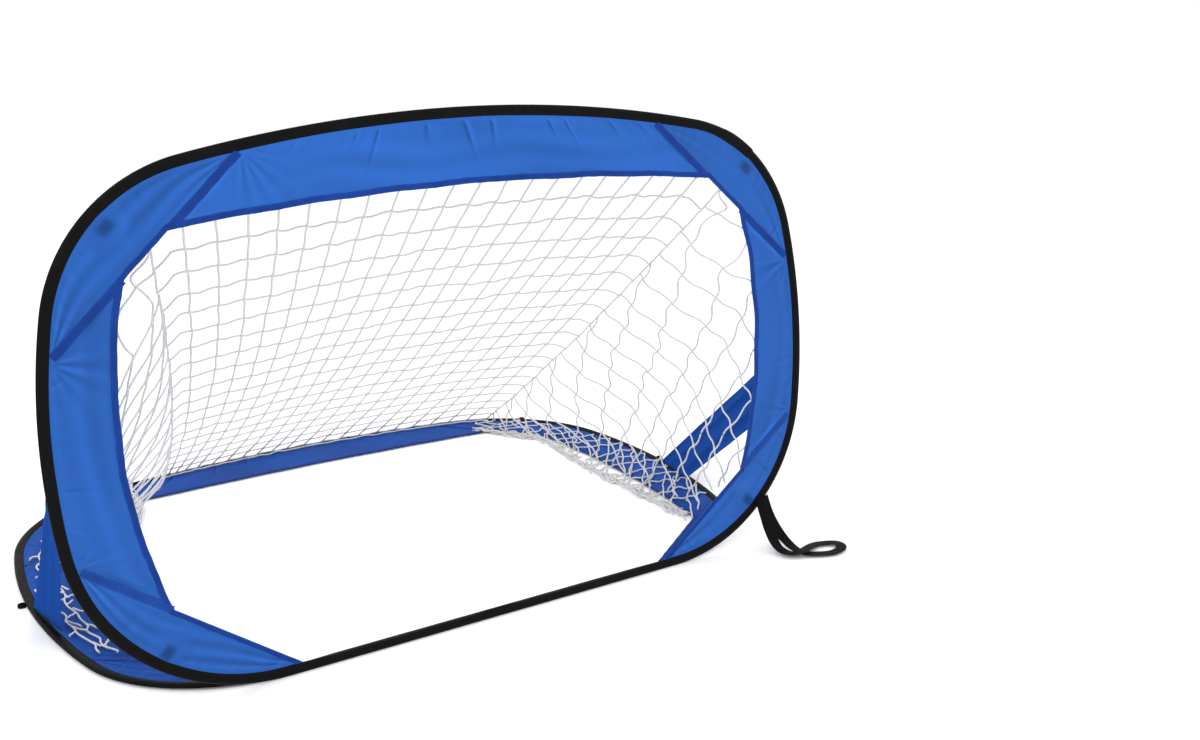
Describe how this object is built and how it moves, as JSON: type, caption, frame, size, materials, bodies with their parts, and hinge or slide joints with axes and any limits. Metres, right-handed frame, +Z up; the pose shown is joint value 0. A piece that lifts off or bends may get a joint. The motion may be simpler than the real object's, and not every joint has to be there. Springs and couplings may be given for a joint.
{
  "type": "pop up goal",
  "caption": "Folding play goal: two spring-wire hoops in cloth sleeves joined along one edge, with blue cloth borders, a knotted net, side stays and peg loops.",
  "frame": {"origin": "on the ground under the middle of the object", "axes": "+X across the mouth to the right as seen from in front, +Y from the mouth towards the back of the net, +Z up"},
  "size_m": [1.2359, 1.0699, 0.7561],
  "materials": {
    "spring_steel": "drawn spring wire, lightly oiled",
    "black_sleeve_cloth": "black woven polyester sleeve, matt with a slight sheen",
    "seam_tape": "folded blue cloth binding, stitched along both edges",
    "net_twine": "white twisted polyethylene twine",
    "black_webbing": "narrow black polyester webbing",
    "blue_front_cloth": "royal blue thin woven polyester, fine wrinkles at the seams",
    "blue_base_cloth": "royal blue thin woven polyester, slightly darker near the ground"
  },
  "bodies": {
    "base": {"base_front_left_corner": "blue_base_cloth", "base_front_left_seam_tape": "seam_tape", "base_front_right_corner": "blue_base_cloth", "base_front_right_seam_tape": "seam_tape", "base_hoop_sleeve": "black_sleeve_cloth", "base_hoop_wire": "spring_steel", "base_left_hem_tape": "seam_tape", "base_left_panel": "blue_base_cloth", "base_peg_loops": "black_webbing", "base_rear_hem_tape": "seam_tape", "base_rear_left_corner": "blue_base_cloth", "base_rear_left_seam_tape": "seam_tape", "base_rear_panel": "blue_base_cloth", "base_rear_right_corner": "blue_base_cloth", "base_rear_right_seam_tape": "seam_tape", "base_right_hem_tape": "seam_tape", "base_right_panel": "blue_base_cloth", "base_wire_ferrule": "spring_steel", "left_stay": "blue_base_cloth", "net_back": "net_twine", "net_left_side": "net_twine", "net_right_side": "net_twine", "right_stay": "blue_base_cloth"},
    "front_frame": {"front_corner_tabs": "black_webbing", "front_hoop_sleeve": "black_sleeve_cloth", "front_hoop_wire": "spring_steel", "front_left_hem_tape": "seam_tape", "front_left_panel": "blue_front_cloth", "front_lower_left_corner": "blue_front_cloth", "front_lower_left_seam_tape": "seam_tape", "front_lower_right_corner": "blue_front_cloth", "front_lower_right_seam_tape": "seam_tape", "front_right_hem_tape": "seam_tape", "front_right_panel": "blue_front_cloth", "front_top_hem_tape": "seam_tape", "front_top_panel": "blue_front_cloth", "front_upper_left_corner": "blue_front_cloth", "front_upper_left_seam_tape": "seam_tape", "front_upper_right_corner": "blue_front_cloth", "front_upper_right_seam_tape": "seam_tape", "front_wire_ferrule": "spring_steel", "closing_strap": "black_webbing"}
  },
  "joints": [
    {"name": "front_fold", "type": "hinge", "parent": "base", "child": "front_frame", "pos_m": [0, -0.46613, 0.00745], "axis": [-1, 0, 0], "range_deg": [0, 86], "stiffness_Nm_per_rad": 3, "springref_deg": -34.38, "deforming": ["net_back", "net_left_side", "net_right_side", "left_stay", "right_stay"]}
  ]
}
